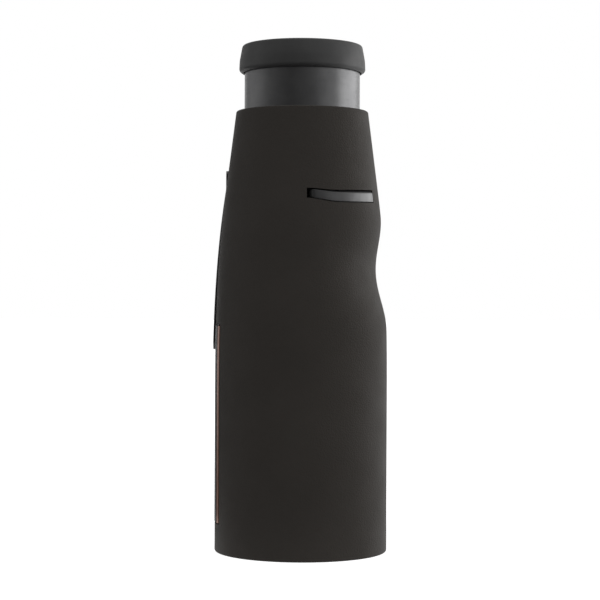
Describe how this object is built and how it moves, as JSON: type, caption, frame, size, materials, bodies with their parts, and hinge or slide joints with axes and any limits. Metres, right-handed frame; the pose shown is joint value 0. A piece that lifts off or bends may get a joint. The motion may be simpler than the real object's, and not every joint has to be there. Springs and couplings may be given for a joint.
{
  "type": "laser rangefinder",
  "caption": "Slim handheld laser rangefinder: rubber-armoured monocular with a twist-out eyecup, strap bar, pocket clip and push buttons.",
  "frame": {"origin": "middle of the front plate's outer face, between the viewing window and the receiving window", "axes": "+Z along the optical axes from the front windows to the eyecup, +X towards the flank with the finger groove, +Y towards the narrow side with the buttons"},
  "size_m": [0.0393, 0.0756, 0.1163],
  "materials": {
    "armor_rubber": "fine-grained soft rubber",
    "eyecup_rubber": "smooth matt rubber",
    "button_rubber": "smooth matt rubber",
    "dark_polymer": "matt moulded",
    "anodised_metal": "satin dark grey anodised",
    "black_metal": "black anodised",
    "copper_metal": "satin copper colour",
    "steel": "plain",
    "brass": "plain",
    "glass": "coated optical glass",
    "board": "solder mask",
    "battery_label": "plain sleeve"
  },
  "bodies": {
    "housing": {"armor": "armor_rubber", "chassis_left": "dark_polymer", "chassis_right": "dark_polymer", "front_bezel": "black_metal", "bezel_screw_left": "steel", "bezel_screw_right": "steel", "rear_cover": "dark_polymer", "rear_screw_near_left": "steel", "rear_screw_near_right": "steel", "rear_screw_far_left": "steel", "rear_screw_far_right": "steel", "side_panel": "dark_polymer", "side_trim": "copper_metal", "lanyard_bar": "anodised_metal", "lanyard_anchor": "dark_polymer", "clip_screw_near": "steel", "clip_screw_far": "steel", "objective_cell": "black_metal", "objective_front_lens": "glass", "objective_rear_lens": "glass", "objective_ring": "black_metal", "light_tunnel": "dark_polymer", "prism_holder": "black_metal", "prism_front": "glass", "prism_rear": "glass", "reticle_display": "glass", "eyepiece_barrel": "black_metal", "receiver_cell": "black_metal", "receiver_lens": "glass", "receiver_ring": "black_metal", "receiver_sensor": "brass", "receiver_board": "board", "emitter_cell": "brass", "emitter_lens": "glass", "laser_diode": "steel", "main_board": "board", "board_screw_lower": "steel", "board_screw_upper": "steel", "button_board": "board", "range_switch": "dark_polymer", "mode_switch": "dark_polymer", "battery": "battery_label", "battery_tube": "dark_polymer", "battery_spring": "steel", "battery_contact": "brass"},
    "clip": {"pocket_clip": "black_metal"},
    "range_key": {"range_button": "button_rubber"},
    "mode_key": {"mode_button": "button_rubber"},
    "eyecup_guide": {"eyecup_guide_ring": "brass"},
    "eyecup": {"eyecup_sleeve": "anodised_metal", "eyecup_rubber": "eyecup_rubber"},
    "diopter": {"diopter_ring": "dark_polymer"},
    "ocular": {"ocular_cell": "black_metal", "field_lens": "glass", "eye_lens": "glass"},
    "seal": {"cap_seal": "eyecup_rubber"},
    "cap": {"battery_cap": "black_metal", "cap_contact": "brass"}
  },
  "joints": [
    {"name": "clip_flex", "type": "hinge", "parent": "housing", "child": "clip", "pos_m": [-0.0169, 0, 0.0829], "axis": [0, 1, 0], "range_deg": [0, 6], "stiffness_Nm_per_rad": 0.5},
    {"name": "range_press", "type": "slide", "parent": "housing", "child": "range_key", "axis": [0, -1, 0], "range_m": [0, 0.0006], "stiffness_N_per_m": 900, "springref_m": -0.0003},
    {"name": "mode_press", "type": "slide", "parent": "housing", "child": "mode_key", "axis": [0, -1, 0], "range_m": [0, 0.0006], "stiffness_N_per_m": 900, "springref_m": -0.0003},
    {"name": "eyecup_slide", "type": "slide", "parent": "housing", "child": "eyecup_guide", "axis": [0, 0, -1], "range_m": [0, 0.008]},
    {"name": "eyecup_twist", "type": "hinge", "parent": "eyecup_guide", "child": "eyecup", "pos_m": [0, 0.015, 0.1], "axis": [0, 0, -1], "range_deg": [0, 90]},
    {"name": "diopter_turn", "type": "hinge", "parent": "housing", "child": "diopter", "pos_m": [0, 0.015, 0.1], "axis": [0, 0, 1], "range_deg": [-150, 150]},
    {"name": "ocular_slide", "type": "slide", "parent": "housing", "child": "ocular", "axis": [0, 0, 1], "range_m": [-0.0012, 0.0012]},
    {"name": "cap_lift", "type": "slide", "parent": "housing", "child": "seal", "axis": [0, 0, 1], "range_m": [0, 0.003]},
    {"name": "cap_turn", "type": "hinge", "parent": "seal", "child": "cap", "pos_m": [0, -0.0185, 0.09], "axis": [0, 0, 1], "range_deg": [0, 720]}
  ],
  "couplings": [
    {"joint": "eyecup_slide", "follows": "eyecup_twist", "m_per_rad": 0.005093},
    {"joint": "diopter_turn", "follows": "ocular_slide", "rad_per_m": 2181.7},
    {"joint": "cap_lift", "follows": "cap_turn", "m_per_rad": 0.00023873}
  ]
}
